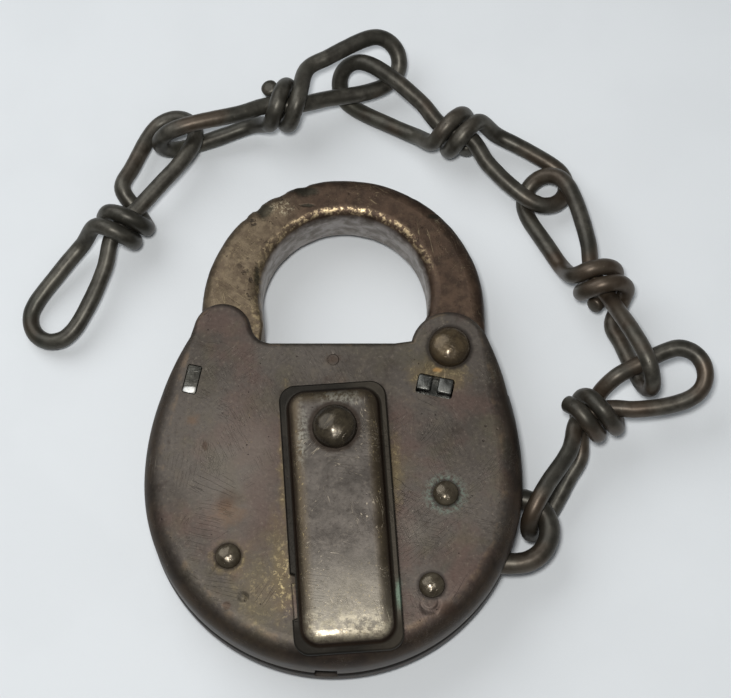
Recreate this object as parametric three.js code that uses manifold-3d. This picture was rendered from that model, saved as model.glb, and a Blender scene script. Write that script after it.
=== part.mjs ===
// A brass switch-type padlock with a riveted two-shell case, a bow shackle that swings on a heel rivet,
// a keyhole drop, a lever mechanism inside and a chain of knotted wire links. It lies on its back.
// Millimetres. +Z is the front of the lock, +Y points to the shackle. The origin is on the flat back,
// at the centre of the round lower case.

import * as THREE from 'three';
import { mergeVertices } from 'three/addons/utils/BufferGeometryUtils.js';
import Module from 'manifold-3d';

const wasm = await Module();
wasm.setup();

// ---- driving dimensions ----

const GAP = 0.3; // clearance kept between pieces that touch
const CASE = {
  radius: 35, // round lower part
  leftSideRadius: 50, // the sides above it are flatter arcs
  rightSideRadius: 62,
  depth: 18,
  wall: 1.8,
  rim: 4.5, // rolled edge of the lower part and the sides
  topRim: 1.1, // the top edge and the shoulders are nearly sharp
  topY: 25.8,
};
const SEAM_Z = CASE.depth / 2;
const FRONT_Z = CASE.depth;
const INSIDE_LOW = CASE.wall;
const INSIDE_HIGH = CASE.depth - CASE.wall;
const DOME = { x: -20.9, y: 28.2, radius: 5.4 }; // left shoulder, over the shackle's toe
const FILLET = 4; // between the dome and the top edge
const HEEL = { x: 21.6, y: 24.75, tabRadius: 7.2, eyeRadius: 6.9, pinRadius: 2.3 };

const SHACKLE = {
  low: 3,
  high: 15,
  outer: { x: 1.7, y: 33.4, radius: 26.8 },
  inner: { x: 1.9, y: 36.2, radius: 15.8 },
  toeOuter: 47.5, // radii about the heel, so that the toe leaves the case on a circle
  toeInner: 35.4,
  toeEnd: 194, // degrees about the heel
  edge: 2.6,
  footEdge: 0.7,
};

const PIVOT = { x: 0.3, y: 7.85 }; // of the keyhole drop
const DROP = {
  lean: 4, // degrees, the lower end leans to +X
  low: 19.7,
  thickness: 1.1,
  top: 23.1,
  halfWidth: 9.9,
  above: 9.1,
  below: 41.2,
  corner: 3,
  notchFrom: -26.2,
  notchTo: -34.6,
  notchDepth: 1.5,
};
const DROP_BOX = { halfWidth: 8.5, above: 7.6, below: 39.9, corner: 3.4, sheet: 1.2 };

const SMALL_HEAD = { radius: 2.35, height: 1.2, pin: 1.6 };
const LEFT_RIVET = { x: -19, y: -15.1 };
const LEVER_PIVOT = { x: 20.6, y: -3.4 };
const LOWER_RIVET = { x: 17.9, y: -20.5 };
const GUIDE_PIN = { x: -0.1, y: 22.3, radius: 1.1 };
const KEY = { x: 1.5, y: -13, hole: 3.2, slot: 1.4, slotLength: 8, post: 1.2 };

const TOE_TENON = { x: -26.3, y: 18.5, width: 2.5, height: 5.4, lean: -12 };
const HEEL_TENON = { x: 18.8, y: 17.5, width: 6.6, height: 3.0, lean: -12, split: 1.2 };

const STUMP = { x: 2.5, y: 15.2, half: 1.2 };
const BOLT = { low: 2.3, thickness: 2, travel: 4.5, noseLow: 6, noseHigh: 12, left: -8.2, right: 9.9 };
const LEVER = { count: 4, first: 5.2, thickness: 1.4, pitch: 1.8 };
const BOLT_SPRING = { y: 14, z: 4.5, radius: 1.5, wire: 0.3, turns: 5, from: 10.3, to: 15.4 };

const STAPLE = { x: 33.9, y: -8.2, radius: 6.2, wire: 2.0, inside: 29.6 };
const WIRE = 1.65; // radius of the chain's wire
const LOOP = 5; // radius of a loop's round end, at the wire's centre
const COIL = 2 * WIRE + 0.55; // radius of the wraps round the middle strand
const WRAP = { pitch: 7.5, length: 7.2, nearest: 2.7, straight: 3 }; // along the knot's axis

const BRASS = { color: 0x6b5b4c, roughness: 0.5, metalness: 0.8 };
const BRONZE = { color: 0x5a4632, roughness: 0.45, metalness: 0.85 };
const STEEL = { color: 0x4a4a4a, roughness: 0.5, metalness: 0.9 };
const DARK_WIRE = { color: 0x4a4032, roughness: 0.4, metalness: 0.85 };

// ---- helpers ----

const rad = THREE.MathUtils.degToRad;

function solid(geometry) {
  const bare = geometry.index ? geometry.toNonIndexed() : geometry.clone();
  bare.deleteAttribute('normal');
  bare.deleteAttribute('uv');
  const merged = mergeVertices(bare, 1e-4);
  return new wasm.Manifold(new wasm.Mesh({
    numProp: 3,
    vertProperties: new Float32Array(merged.attributes.position.array),
    triVerts: new Uint32Array(merged.index.array),
  }));
}

function geometryOf(manifold) {
  const mesh = manifold.getMesh();
  const geometry = new THREE.BufferGeometry();
  geometry.setAttribute('position', new THREE.BufferAttribute(new Float32Array(mesh.vertProperties), 3));
  geometry.setIndex(new THREE.BufferAttribute(new Uint32Array(mesh.triVerts), 1));
  return geometry;
}

const join = (pieces) => pieces.reduce((all, piece) => all.add(piece));
const cut = (from, tools) => tools.reduce((left, tool) => left.subtract(tool), from);

const lock = new THREE.Group();

function addNode(name, geometry, finish) {
  const mesh = new THREE.Mesh(geometry, new THREE.MeshStandardMaterial(finish));
  mesh.name = name;
  lock.add(mesh);
}

function block(x0, x1, y0, y1, z0, z1) {
  const box = new THREE.BoxGeometry(x1 - x0, y1 - y0, z1 - z0);
  return solid(box.translate((x0 + x1) / 2, (y0 + y1) / 2, (z0 + z1) / 2));
}

function post(at, radius, z0, z1, sides = 20) {
  const cylinder = new THREE.CylinderGeometry(radius, radius, z1 - z0, sides);
  return solid(cylinder.rotateX(Math.PI / 2).translate(at.x, at.y, (z0 + z1) / 2));
}

// a rectangle about a point, leaning, as a prism between two heights
function leaningBlock(at, width, height, z0, z1, shift = 0) {
  const box = new THREE.BoxGeometry(width, height, z1 - z0).translate(shift, 0, (z0 + z1) / 2);
  return solid(box.rotateZ(rad(at.lean)).translate(at.x, at.y, 0));
}

function prism(points, z0, z1) {
  const shape = new THREE.Shape(points);
  const geometry = new THREE.ExtrudeGeometry(shape, { depth: z1 - z0, bevelEnabled: false });
  return solid(geometry.translate(0, 0, z0));
}

function arc(centre, radius, fromDegrees, toDegrees, steps, rim) {
  return Array.from({ length: steps + 1 }, (_, i) => {
    const angle = rad(fromDegrees + (toDegrees - fromDegrees) * i / steps);
    const point = new THREE.Vector2(radius * Math.cos(angle), radius * Math.sin(angle)).add(centre);
    point.rim = typeof rim === 'function' ? rim(point) : rim;
    return point;
  });
}

function corner(x, y, rim) {
  const point = new THREE.Vector2(x, y);
  point.rim = rim;
  return point;
}

// the outline moved inward by a distance that may differ from point to point
function inset(outline, distanceAt) {
  const count = outline.length;
  return outline.map((point, i) => {
    const before = outline[(i + count - 1) % count];
    const after = outline[(i + 1) % count];
    const a = point.clone().sub(before).normalize();
    const b = after.clone().sub(point).normalize();
    const inward = new THREE.Vector2(-a.y - b.y, a.x + b.x).normalize();
    const stretch = Math.max(inward.x * -a.y + inward.y * a.x, 0.7);
    const moved = point.clone().addScaledVector(inward, distanceAt(point) / stretch);
    moved.rim = point.rim;
    return moved;
  });
}

// a closed body through rings of points, each ring a counter-clockwise outline with a height at each point
function rings(levels) {
  const count = levels[0].length;
  const positions = levels.flat().flatMap((point) => [point.x, point.y, point.z]);
  const faces = [];
  for (let k = 0; k + 1 < levels.length; k += 1) {
    for (let i = 0; i < count; i += 1) {
      const j = (i + 1) % count;
      const [a, b, c, d] = [k * count + i, k * count + j, (k + 1) * count + j, (k + 1) * count + i];
      faces.push(a, b, c, a, c, d);
    }
  }
  const last = (levels.length - 1) * count;
  for (const [a, b, c] of THREE.ShapeUtils.triangulateShape(levels[0], [])) faces.push(a, c, b);
  for (const [a, b, c] of THREE.ShapeUtils.triangulateShape(levels.at(-1), [])) {
    faces.push(last + a, last + b, last + c);
  }
  const geometry = new THREE.BufferGeometry();
  geometry.setAttribute('position', new THREE.Float32BufferAttribute(positions, 3));
  geometry.setIndex(faces);
  return solid(geometry);
}

// a plate with quarter-round edges: each outline point carries its own edge radius
function roundedPlate(outline, z0, z1, roundLow, roundHigh, steps = 4) {
  const levels = [];
  const ring = (turn, high) => inset(outline, (p) => p.rim * (1 - Math.cos(turn))).map((moved) => {
    const rise = moved.rim * (1 - Math.sin(turn));
    moved.z = high ? z1 - rise : z0 + rise;
    return moved;
  });
  const flat = (z) => outline.map((p) => Object.assign(p.clone(), { rim: p.rim, z }));
  if (roundLow) {
    for (let i = steps; i >= 0; i -= 1) levels.push(ring(i / steps * Math.PI / 2, false));
  } else levels.push(flat(z0));
  if (roundHigh) {
    for (let i = 0; i <= steps; i += 1) levels.push(ring(i / steps * Math.PI / 2, true));
  } else levels.push(flat(z1));
  return rings(levels);
}

function lathe(at, profile, sides = 20) {
  const points = profile.map(([r, z]) => new THREE.Vector2(r, z));
  const geometry = new THREE.LatheGeometry(points, sides);
  return solid(geometry.rotateX(Math.PI / 2).translate(at.x, at.y, 0));
}

function tube(points, radius, steps, sides = 8, closed = false) {
  const curve = new THREE.CatmullRomCurve3(points, closed, 'centripetal');
  const section = new THREE.Shape(arc({ x: 0, y: 0 }, radius, 0, 360 - 360 / sides, sides - 1, 0));
  return new THREE.ExtrudeGeometry(section, { steps, extrudePath: curve, bevelEnabled: false });
}

// ---- case ----

function caseOutline() {
  const { radius, leftSideRadius, rightSideRadius, rim, topRim, topY } = CASE;
  const sideRim = (p) => THREE.MathUtils.mapLinear(THREE.MathUtils.clamp(p.y, 16, 28), 16, 28, rim, 1.6);
  const rightTop = THREE.MathUtils.radToDeg(Math.asin(28.2 / rightSideRadius));
  const leftTop = 180 - THREE.MathUtils.radToDeg(Math.asin(27.2 / leftSideRadius));
  const filletY = topY + FILLET;
  const filletX = DOME.x + Math.sqrt((DOME.radius + FILLET) ** 2 - (filletY - DOME.y) ** 2);
  const meet = THREE.MathUtils.radToDeg(Math.atan2(filletY - DOME.y, filletX - DOME.x));
  return [
    ...arc({ x: 0, y: 0 }, radius, 180, 360, 44, rim),
    ...arc({ x: radius - rightSideRadius, y: 0 }, rightSideRadius, 0, rightTop, 8, sideRim).slice(1),
    ...arc(HEEL, HEEL.tabRadius, 35, 168, 11, topRim),
    corner(12.4, topY, topRim),
    corner(0, topY, topRim),
    ...arc({ x: filletX, y: filletY }, FILLET, 270, 180 + meet, 5, topRim),
    ...arc(DOME, DOME.radius, meet, 169, 9, topRim).slice(1),
    ...arc({ x: leftSideRadius - radius, y: 0 }, leftSideRadius, leftTop, 180, 8, sideRim).slice(0, -1),
  ];
}

function caseCuts() {
  const slotLow = SHACKLE.low - 0.5;
  const slotHigh = SHACKLE.high + 0.35;
  const toeSlot = prism([
    ...arc(HEEL, SHACKLE.toeOuter + 0.5, 158, 186, 8, 0),
    ...arc(HEEL, SHACKLE.toeInner - 0.5, 186, 158, 8, 0),
  ], slotLow, slotHigh);
  const legs = [-1, 1].map((side) => {
    const hole = new THREE.CylinderGeometry(STAPLE.wire + 0.25, STAPLE.wire + 0.25, 16, 16);
    return solid(hole.rotateZ(Math.PI / 2).translate(STAPLE.x, STAPLE.y + side * STAPLE.radius, SEAM_Z));
  });
  const drain = new THREE.CylinderGeometry(1.5, 1.5, 8, 16).scale(1.4, 1, 0.7);
  return [
    toeSlot,
    block(-29, -13.6, 29.4, 40, slotLow, slotHigh),
    post(HEEL, HEEL.eyeRadius + 0.4, slotLow, slotHigh, 32),
    block(17.3, 40, HEEL.y, 40, slotLow, slotHigh),
    block(HEEL.x, 40, 16.2, HEEL.y + 1, slotLow, slotHigh),
    ...legs,
    solid(drain.translate(-1.3, -CASE.radius, SEAM_Z)),
    post(HEEL, HEEL.pinRadius + 0.25, -1, 20),
    ...[LEFT_RIVET, LEVER_PIVOT, LOWER_RIVET].map((at) => post(at, SMALL_HEAD.pin + 0.2, -1, 20)),
    post(GUIDE_PIN, GUIDE_PIN.radius + 0.2, -1, 20, 14),
  ];
}

function dropPlace(geometry) {
  return geometry.rotateZ(rad(DROP.lean)).translate(PIVOT.x, PIVOT.y, 0);
}

function shell(front) {
  const outline = caseOutline();
  const walled = inset(outline, () => CASE.wall).map((p) => {
    p.rim = Math.max(p.rim - CASE.wall, 0.3);
    return p;
  });
  const [z0, z1] = front ? [SEAM_Z + GAP / 2, FRONT_Z] : [0, SEAM_Z - GAP / 2];
  const outside = roundedPlate(outline, z0, z1, !front, front);
  const hollow = front
    ? roundedPlate(walled, z0 - 2, INSIDE_HIGH, false, true, 3)
    : roundedPlate(walled, INSIDE_LOW, z1 + 2, true, false, 3);
  return cut(outside, [hollow, ...caseCuts()]);
}

function frontCase() {
  const keySlot = block(KEY.x - KEY.slot, KEY.x + KEY.slot, KEY.y - KEY.slotLength, KEY.y, 15, 20);
  const lugWidth = 1.05;
  const lugBox = new THREE.BoxGeometry(lugWidth, 6.8, 3.4);
  const lugX = DROP.notchDepth - DROP.halfWidth - GAP - lugWidth / 2;
  const lug = solid(dropPlace(lugBox.translate(lugX, (DROP.notchFrom + DROP.notchTo) / 2 - 0.4, 18.8)));
  return cut(shell(true), [
    post(PIVOT, 2.2, 15, 20),
    post(KEY, KEY.hole, 15, 20, 28),
    keySlot,
    leaningBlock(TOE_TENON, TOE_TENON.width + 0.6, TOE_TENON.height + 0.6, 15, 20),
    leaningBlock(HEEL_TENON, HEEL_TENON.width + 0.6, HEEL_TENON.height + 0.6, 15, 20),
  ]).add(lug);
}

const backCase = () => cut(shell(false), [post(KEY, KEY.post + 0.2, -1, 3, 14)]);

// ---- shackle ----

function shackle() {
  const { outer, inner, toeOuter, toeInner, toeEnd, edge, footEdge, low, high } = SHACKLE;
  const legTop = THREE.MathUtils.radToDeg(Math.asin((outer.y - HEEL.y) / toeOuter));
  const innerTop = THREE.MathUtils.radToDeg(Math.asin((31 - HEEL.y) / toeInner));
  const outline = [
    ...arc(HEEL, HEEL.eyeRadius, 150, 360, 18, footEdge),
    corner(HEEL.x + HEEL.eyeRadius, 29.5, 1.4),
    ...arc(outer, outer.radius, 0, 180, 30, edge),
    ...arc(HEEL, toeOuter, 181 - legTop, toeEnd - 2.4, 5, footEdge),
    ...arc(HEEL, (toeOuter + toeInner) / 2 + 4, toeEnd, toeEnd + 0.6, 1, footEdge),
    ...arc(HEEL, (toeOuter + toeInner) / 2 - 4, toeEnd + 0.6, toeEnd, 1, footEdge),
    ...arc(HEEL, toeInner, toeEnd - 3, 181 - innerTop, 5, footEdge),
    ...arc(inner, inner.radius, 180, 0, 22, edge),
    corner(inner.x + inner.radius, 32.6, 1.6),
  ];
  const body = roundedPlate(outline, low, high, true, true, 3);
  const notch = block(-18, -12, STUMP.y + 0.7, STUMP.y + 4.9, BOLT.noseLow - 0.4, BOLT.noseHigh + 0.4);
  return cut(body, [post(HEEL, HEEL.pinRadius + 0.25, 0, 20), notch]);
}

// ---- rivets and pins ----

// profile points of a domed head from its rim at height z
function dome(radius, height, z, steps = 5) {
  return Array.from({ length: steps }, (_, i) => {
    const turn = i / steps * Math.PI / 2;
    return [radius * Math.cos(turn), z + height * Math.sin(turn)];
  }).concat([[0, z + height]]);
}

const headZ = FRONT_Z + 0.2;
const heelRivet = () => lathe(HEEL, [
  [0, 0.1], [HEEL.pinRadius, 0.1], [HEEL.pinRadius, headZ], ...dome(3.9, 2.2, headZ),
]);
const smallRivet = (at) => lathe(at, [
  [0, 0.1], [SMALL_HEAD.pin, 0.1], [SMALL_HEAD.pin, headZ],
  ...dome(SMALL_HEAD.radius, SMALL_HEAD.height, headZ, 4),
], 16);

function dropRivet() {
  const headLow = DROP.top + 0.15;
  return lathe(PIVOT, [
    [0, 14.6], [2.9, 14.6], [2.9, 15.8], [2, 15.8], [2, headLow], ...dome(4.15, 2.3, headLow),
  ]);
}

// spacer that carries the drop clear of the small rivet heads
const dropWasher = () => lathe(PIVOT, [
  [2.3, FRONT_Z + 0.15], [3.4, FRONT_Z + 0.15], [3.4, 21.6], [2.3, 21.6], [2.3, FRONT_Z + 0.15],
], 18);

// ---- keyhole drop ----

function dropOutline(halfWidth, above, below, radius, notched) {
  const points = [
    ...arc({ x: halfWidth - radius, y: radius - below }, radius, 270, 360, 4, 0),
    ...arc({ x: halfWidth - radius, y: above - radius }, radius, 0, 90, 4, 0),
    ...arc({ x: radius - halfWidth, y: above - radius }, radius, 90, 180, 4, 0),
  ];
  if (notched) {
    const { notchFrom, notchTo, notchDepth } = DROP;
    points.push(
      corner(-halfWidth, notchFrom, 0),
      corner(notchDepth - halfWidth, notchFrom - 0.5, 0),
      corner(notchDepth - halfWidth, notchTo + 0.5, 0),
      corner(-halfWidth, notchTo, 0),
    );
  }
  points.push(...arc({ x: radius - halfWidth, y: radius - below }, radius, 180, 270, 4, 0));
  return points;
}

// a raised box through a list of [inset, height] steps
function raised(outline, steps) {
  const ring = (distance, z) => inset(outline, () => distance).map((p) => Object.assign(p, { z }));
  return rings(steps.map(([distance, z]) => ring(distance, z)));
}

function keyholeDrop() {
  const { low, thickness, top, halfWidth, above, below, corner: round } = DROP;
  const flange = raised(dropOutline(halfWidth, above, below, round, true), [
    [0, low], [0, low + 0.7 * thickness], [0.3, low + thickness],
  ]);
  const box = dropOutline(DROP_BOX.halfWidth, DROP_BOX.above, DROP_BOX.below, DROP_BOX.corner, false);
  const shellOutside = raised(box, [[0, low + 0.5], [0.2, low + 1.7], [0.8, top - 0.6], [1.8, top]]);
  const shellInside = raised(box, [[1.2, low - 1], [1.4, top - 2], [2.4, top - DROP_BOX.sheet]]);
  const whole = flange.add(shellOutside).subtract(shellInside);
  return solid(dropPlace(geometryOf(whole))).subtract(post(PIVOT, 2.25, 15, 30));
}

// ---- steel blocks, key post ----

function toeGuide() {
  const tenon = leaningBlock(TOE_TENON, TOE_TENON.width, TOE_TENON.height, 15.35, FRONT_Z + 0.05);
  return block(-28.1, -26.3, 14.9, 20.3, 3, 15.6).add(tenon);
}

function heelBlock() {
  const { width, height, split } = HEEL_TENON;
  const lugWidth = (width - split) / 2;
  const lugs = [-1, 1].map((side) => leaningBlock(
    HEEL_TENON, lugWidth, height, 15.5, FRONT_Z + (side > 0 ? 0.4 : 0.15), side * (width - lugWidth) / 2,
  ));
  return join([
    block(15.8, 23.6, 8.2, 15.1, INSIDE_LOW + GAP, 15.95),
    leaningBlock(HEEL_TENON, width, height + 0.6, SHACKLE.high + 0.35, 15.95),
    ...lugs,
  ]);
}

const keyPost = () => lathe(KEY, [
  [0, 0.1], [KEY.post, 0.1], [KEY.post, 17.1], [0.7, 17.6], [0, 17.6],
], 14);
const guidePin = () => lathe(GUIDE_PIN, [
  [0, 0.1], [GUIDE_PIN.radius, 0.1], [GUIDE_PIN.radius, 18.05], [0, 18.05],
], 14);

// ---- bolt and levers ----

function bolt() {
  const { low, thickness, left, right, noseLow, noseHigh } = BOLT;
  const top = low + thickness;
  const noseY = [STUMP.y + 1.2, STUMP.y + 4.3];
  const [sx, sy, half] = [STUMP.x, STUMP.y, STUMP.half];
  const stump = block(sx - half, sx + half, sy - half, sy + half, low, 12.6);
  const talon = cut(block(-4, 7, -7.5, 13, low, top), [post({ x: KEY.x, y: -7.5 }, 2.4, 0, 8)]);
  return join([
    block(left, right, 12.2, noseY[1], low, top),
    talon,
    block(left, left + 2.2, ...noseY, low, noseHigh),
    block(-12.6, left + 1, ...noseY, noseLow, noseHigh),
    stump,
    block(right - 1.1, right, 12.2, 15.8, low, LEVER.first - GAP),
  ]);
}

function boltSpring() {
  const { y, z, radius, wire, turns, from, to } = BOLT_SPRING;
  const count = turns * 8;
  const points = Array.from({ length: count + 1 }, (_, i) => {
    const turn = i / 8 * 2 * Math.PI;
    const x = THREE.MathUtils.lerp(from + wire, to - wire, i / count);
    return new THREE.Vector3(x, y + radius * Math.cos(turn), z + radius * Math.sin(turn));
  });
  return tube(points, wire, count, 6);
}

function lever(index) {
  const z0 = LEVER.first + index * LEVER.pitch;
  const z1 = z0 + LEVER.thickness;
  const gateEnd = STUMP.x - BOLT.travel - 3.2;
  const arm = prism([
    corner(gateEnd, 10.9, 0),
    corner(6.4, 7.2 - 0.8 * index, 0),
    corner(LEVER_PIVOT.x - 3.1, LEVER_PIVOT.y - 3.4, 0),
    corner(LEVER_PIVOT.x + 2.8, LEVER_PIVOT.y + 3.6, 0),
    corner(6.6, 13.2, 0),
    corner(6.6, 19.2, 0),
    corner(gateEnd, 19.2, 0),
  ], z0, z1);
  const belly = post({ x: KEY.x + 2.5, y: 4 - 0.8 * index }, 6, z0, z1, 24);
  const pocket = (x) => block(x - 2, x + 2, STUMP.y - 2.3, STUMP.y + 2.3, z0 - 1, z1 + 1);
  const whole = join([arm, belly, post(LEVER_PIVOT, 4.6, z0, z1, 24)]);
  return cut(whole, [
    post(LEVER_PIVOT, SMALL_HEAD.pin + 0.2, z0 - 1, z1 + 1),
    pocket(STUMP.x),
    pocket(STUMP.x - BOLT.travel),
    block(STUMP.x - BOLT.travel, STUMP.x, STUMP.y - 1.5, STUMP.y + 1.5, z0 - 1, z1 + 1),
  ]);
}

// a leaf from the lever's eye to the case wall
function leverSpring(index) {
  const z = LEVER.first + index * LEVER.pitch + LEVER.thickness / 2;
  const path = new THREE.QuadraticBezierCurve3(
    new THREE.Vector3(25.7, -1.2, z),
    new THREE.Vector3(29.8, 0.5, z),
    new THREE.Vector3(30.2, 9, z),
  );
  const corners = [[-0.5, -0.2], [0.5, -0.2], [0.5, 0.2], [-0.5, 0.2]];
  const section = new THREE.Shape(corners.map((p) => new THREE.Vector2(...p)));
  return new THREE.ExtrudeGeometry(section, { steps: 8, extrudePath: path, bevelEnabled: false });
}

// ---- chain ----

function chainStaple() {
  const { x, y, radius, wire, inside } = STAPLE;
  const bend = arc({ x, y }, radius, -90, 90, 10, 0).map((p) => new THREE.Vector3(p.x, p.y, SEAM_Z));
  const points = [
    new THREE.Vector3(inside, y - radius, SEAM_Z),
    new THREE.Vector3(x - 2, y - radius, SEAM_Z),
    ...bend,
    new THREE.Vector3(x - 2, y + radius, SEAM_Z),
    new THREE.Vector3(inside, y + radius, SEAM_Z),
  ];
  return tube(points, wire, 22, 10);
}

// Each link is one wire: a wrap, a loop, the middle strand, the other loop and its wrap.
// at: middle of the knot. knot: heading of the knot's axis. hand: which way the wraps turn.
// Each loop has its heading, its pitch, the roll of its plane (0 lies flat, 90 stands up),
// its length from the knot to the wire's bend, and the side its middle strand leaves on.
const LINKS = [
  {
    at: [48.9, 14, 10.3], knot: 21.6, hand: 1,
    loops: [
      { heading: -119, pitch: -6.4, roll: 104.7, length: 25.6, side: 1 },
      { heading: 24.6, pitch: 5, roll: 10.2, length: 22.8, side: -1 },
    ],
  },
  {
    at: [51.1, 39.9, 9.5], knot: 120.8, hand: -1,
    loops: [
      { heading: -67.6, pitch: 7.8, roll: 84.6, length: 23, side: 1 },
      { heading: 116, pitch: -13.1, roll: -27.3, length: 27.5, side: -1 },
    ],
  },
  {
    at: [23.9, 72.5, 7.5], knot: 154.9, hand: -1,
    loops: [
      { heading: -28.8, pitch: -10.3, roll: -15.3, length: 24.5, side: -1 },
      { heading: 149.5, pitch: -6, roll: -44.9, length: 26.7, side: -1 },
    ],
  },
  {
    at: [-10.3, 77.5, 9.6], knot: -178.8, hand: -1,
    loops: [
      { heading: 29.1, pitch: -5.2, roll: 28.2, length: 25.9, side: -1 },
      { heading: -164, pitch: -8.2, roll: 91.8, length: 25.4, side: 1 },
    ],
  },
  {
    at: [-41.1, 53.5, 7.3], knot: -130.4, hand: 1,
    loops: [
      { heading: 64.7, pitch: -4.9, roll: -20.9, length: 25.5, side: -1 },
      { heading: -126.8, pitch: -10.9, roll: 11, length: 27.5, side: 1 },
    ],
  },
];

function along(headingDegrees, pitchDegrees = 0) {
  const [h, p] = [rad(headingDegrees), rad(pitchDegrees)];
  return new THREE.Vector3(Math.cos(h) * Math.cos(p), Math.sin(h) * Math.cos(p), Math.sin(p));
}

// one loop of a link, from the knot out along the middle strand, round the bend and back
function linkLoop(centre, loop) {
  const out = along(loop.heading, loop.pitch);
  const level = new THREE.Vector3(-out.y, out.x, 0).normalize();
  const side = level.applyAxisAngle(out, rad(loop.roll)).multiplyScalar(loop.side);
  const place = (u, w) => centre.clone().addScaledVector(out, u).addScaledVector(side, w);
  const bendAt = loop.length - LOOP;
  const strand = [place(0.42 * bendAt, 0.5 * LOOP), place(0.8 * bendAt, 0.93 * LOOP)];
  const bend = arc({ x: bendAt, y: 0 }, LOOP, 90, -90, 6).map((p) => place(p.x, p.y));
  const back = [place(0.6 * bendAt, -0.97 * LOOP), place(0.36 * bendAt, -0.9 * LOOP)];
  return { points: [...strand, ...bend, ...back], side };
}

// The two wire ends wrap the middle strand side by side, as a two-start screw.
function linkPath(link) {
  const centre = new THREE.Vector3(...link.at);
  const axis = along(link.knot);
  const level = new THREE.Vector3(-axis.y, axis.x, 0);
  const [near, far] = link.loops.map((loop) => linkLoop(centre, loop));
  const angleOf = (v) => THREE.MathUtils.radToDeg(Math.atan2(-v.z, -v.dot(level)));
  const twist = link.hand * 360 / WRAP.pitch;
  const spare = (angleOf(far.side) - angleOf(near.side) - 180) / (2 * twist) - WRAP.nearest;
  const reach = THREE.MathUtils.euclideanModulo(spare, WRAP.pitch / 2) + WRAP.nearest;
  const first = angleOf(near.side) + twist * reach;
  const wrap = (end) => Array.from({ length: 7 }, (_, i) => {
    const u = end * (reach - WRAP.length * (i + 1) / 7);
    const angle = rad(first + twist * u + (end > 0 ? 180 : 0));
    const point = centre.clone().addScaledVector(axis, u).addScaledVector(level, COIL * Math.cos(angle));
    point.z += COIL * Math.sin(angle);
    return point;
  });
  const middle = [-WRAP.straight, WRAP.straight].map((u) => centre.clone().addScaledVector(axis, u));
  return [...[...near.points, ...wrap(-1)].reverse(), ...middle, ...far.points, ...wrap(1)];
}

// ---- assembly ----

addNode('front_case', geometryOf(frontCase()), BRASS);
addNode('back_case', geometryOf(backCase()), BRASS);
addNode('shackle', geometryOf(shackle()), BRONZE);
addNode('heel_rivet', geometryOf(heelRivet()), BRONZE);
addNode('keyhole_drop', geometryOf(keyholeDrop()), BRASS);
addNode('drop_rivet', geometryOf(dropRivet()), BRONZE);
addNode('drop_washer', geometryOf(dropWasher()), BRASS);
addNode('case_rivet_left', geometryOf(smallRivet(LEFT_RIVET)), BRONZE);
addNode('lever_pivot_rivet', geometryOf(smallRivet(LEVER_PIVOT)), BRONZE);
addNode('case_rivet_lower', geometryOf(smallRivet(LOWER_RIVET)), BRONZE);
addNode('guide_pin', geometryOf(guidePin()), STEEL);
addNode('key_post', geometryOf(keyPost()), STEEL);
addNode('toe_guide', geometryOf(toeGuide()), STEEL);
addNode('heel_block', geometryOf(heelBlock()), STEEL);
addNode('bolt', geometryOf(bolt()), STEEL);
addNode('bolt_spring', boltSpring(), STEEL);
for (let i = 0; i < LEVER.count; i += 1) {
  addNode(`lever_${i + 1}`, geometryOf(lever(i)), BRASS);
  addNode(`lever_spring_${i + 1}`, leverSpring(i), STEEL);
}
addNode('chain_staple', chainStaple(), DARK_WIRE);
LINKS.forEach((link, i) => addNode(`chain_link_${i + 1}`, tube(linkPath(link), WIRE, 116, 8), DARK_WIRE));

export default lock;
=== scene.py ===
# The padlock's looks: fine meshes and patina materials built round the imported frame.
# Lengths in the shape code are millimetres, and are scaled to metres as each mesh is made.

import math

import bmesh
import bpy
from mathutils import Matrix, Vector, noise


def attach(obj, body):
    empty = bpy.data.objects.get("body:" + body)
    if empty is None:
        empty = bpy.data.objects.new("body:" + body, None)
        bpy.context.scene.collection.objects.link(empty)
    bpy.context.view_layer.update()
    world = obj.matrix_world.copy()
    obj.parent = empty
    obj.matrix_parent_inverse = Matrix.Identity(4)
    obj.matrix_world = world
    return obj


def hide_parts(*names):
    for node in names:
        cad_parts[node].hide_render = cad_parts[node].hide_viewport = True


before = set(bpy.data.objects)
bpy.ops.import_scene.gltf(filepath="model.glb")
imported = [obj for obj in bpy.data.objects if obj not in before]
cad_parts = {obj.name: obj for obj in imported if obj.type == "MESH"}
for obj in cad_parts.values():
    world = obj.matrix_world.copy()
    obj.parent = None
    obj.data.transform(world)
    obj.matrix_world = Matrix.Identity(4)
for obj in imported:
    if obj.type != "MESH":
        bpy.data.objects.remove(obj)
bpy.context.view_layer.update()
MM = 0.001


# ---- shape helpers ----

def rad(degrees):
    return math.radians(degrees)


class Point:
    """An outline point with the edge radius of the plate there."""

    def __init__(self, x, y, rim=0.0):
        self.x, self.y, self.rim = x, y, rim


def arc(centre, radius, start, end, steps, rim=0.0):
    """Points on a circle from start to end degrees; rim may be a function of the point."""
    points = []
    for i in range(steps + 1):
        a = rad(start + (end - start) * i / steps)
        p = Point(centre[0] + radius * math.cos(a), centre[1] + radius * math.sin(a))
        p.rim = rim(p) if callable(rim) else rim
        points.append(p)
    return points


def line(a, b, steps, rim=0.0):
    """Points from a to b, both left out."""
    dx, dy = b[0] - a[0], b[1] - a[1]
    return [Point(a[0] + dx * i / steps, a[1] + dy * i / steps, rim) for i in range(1, steps)]


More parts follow.
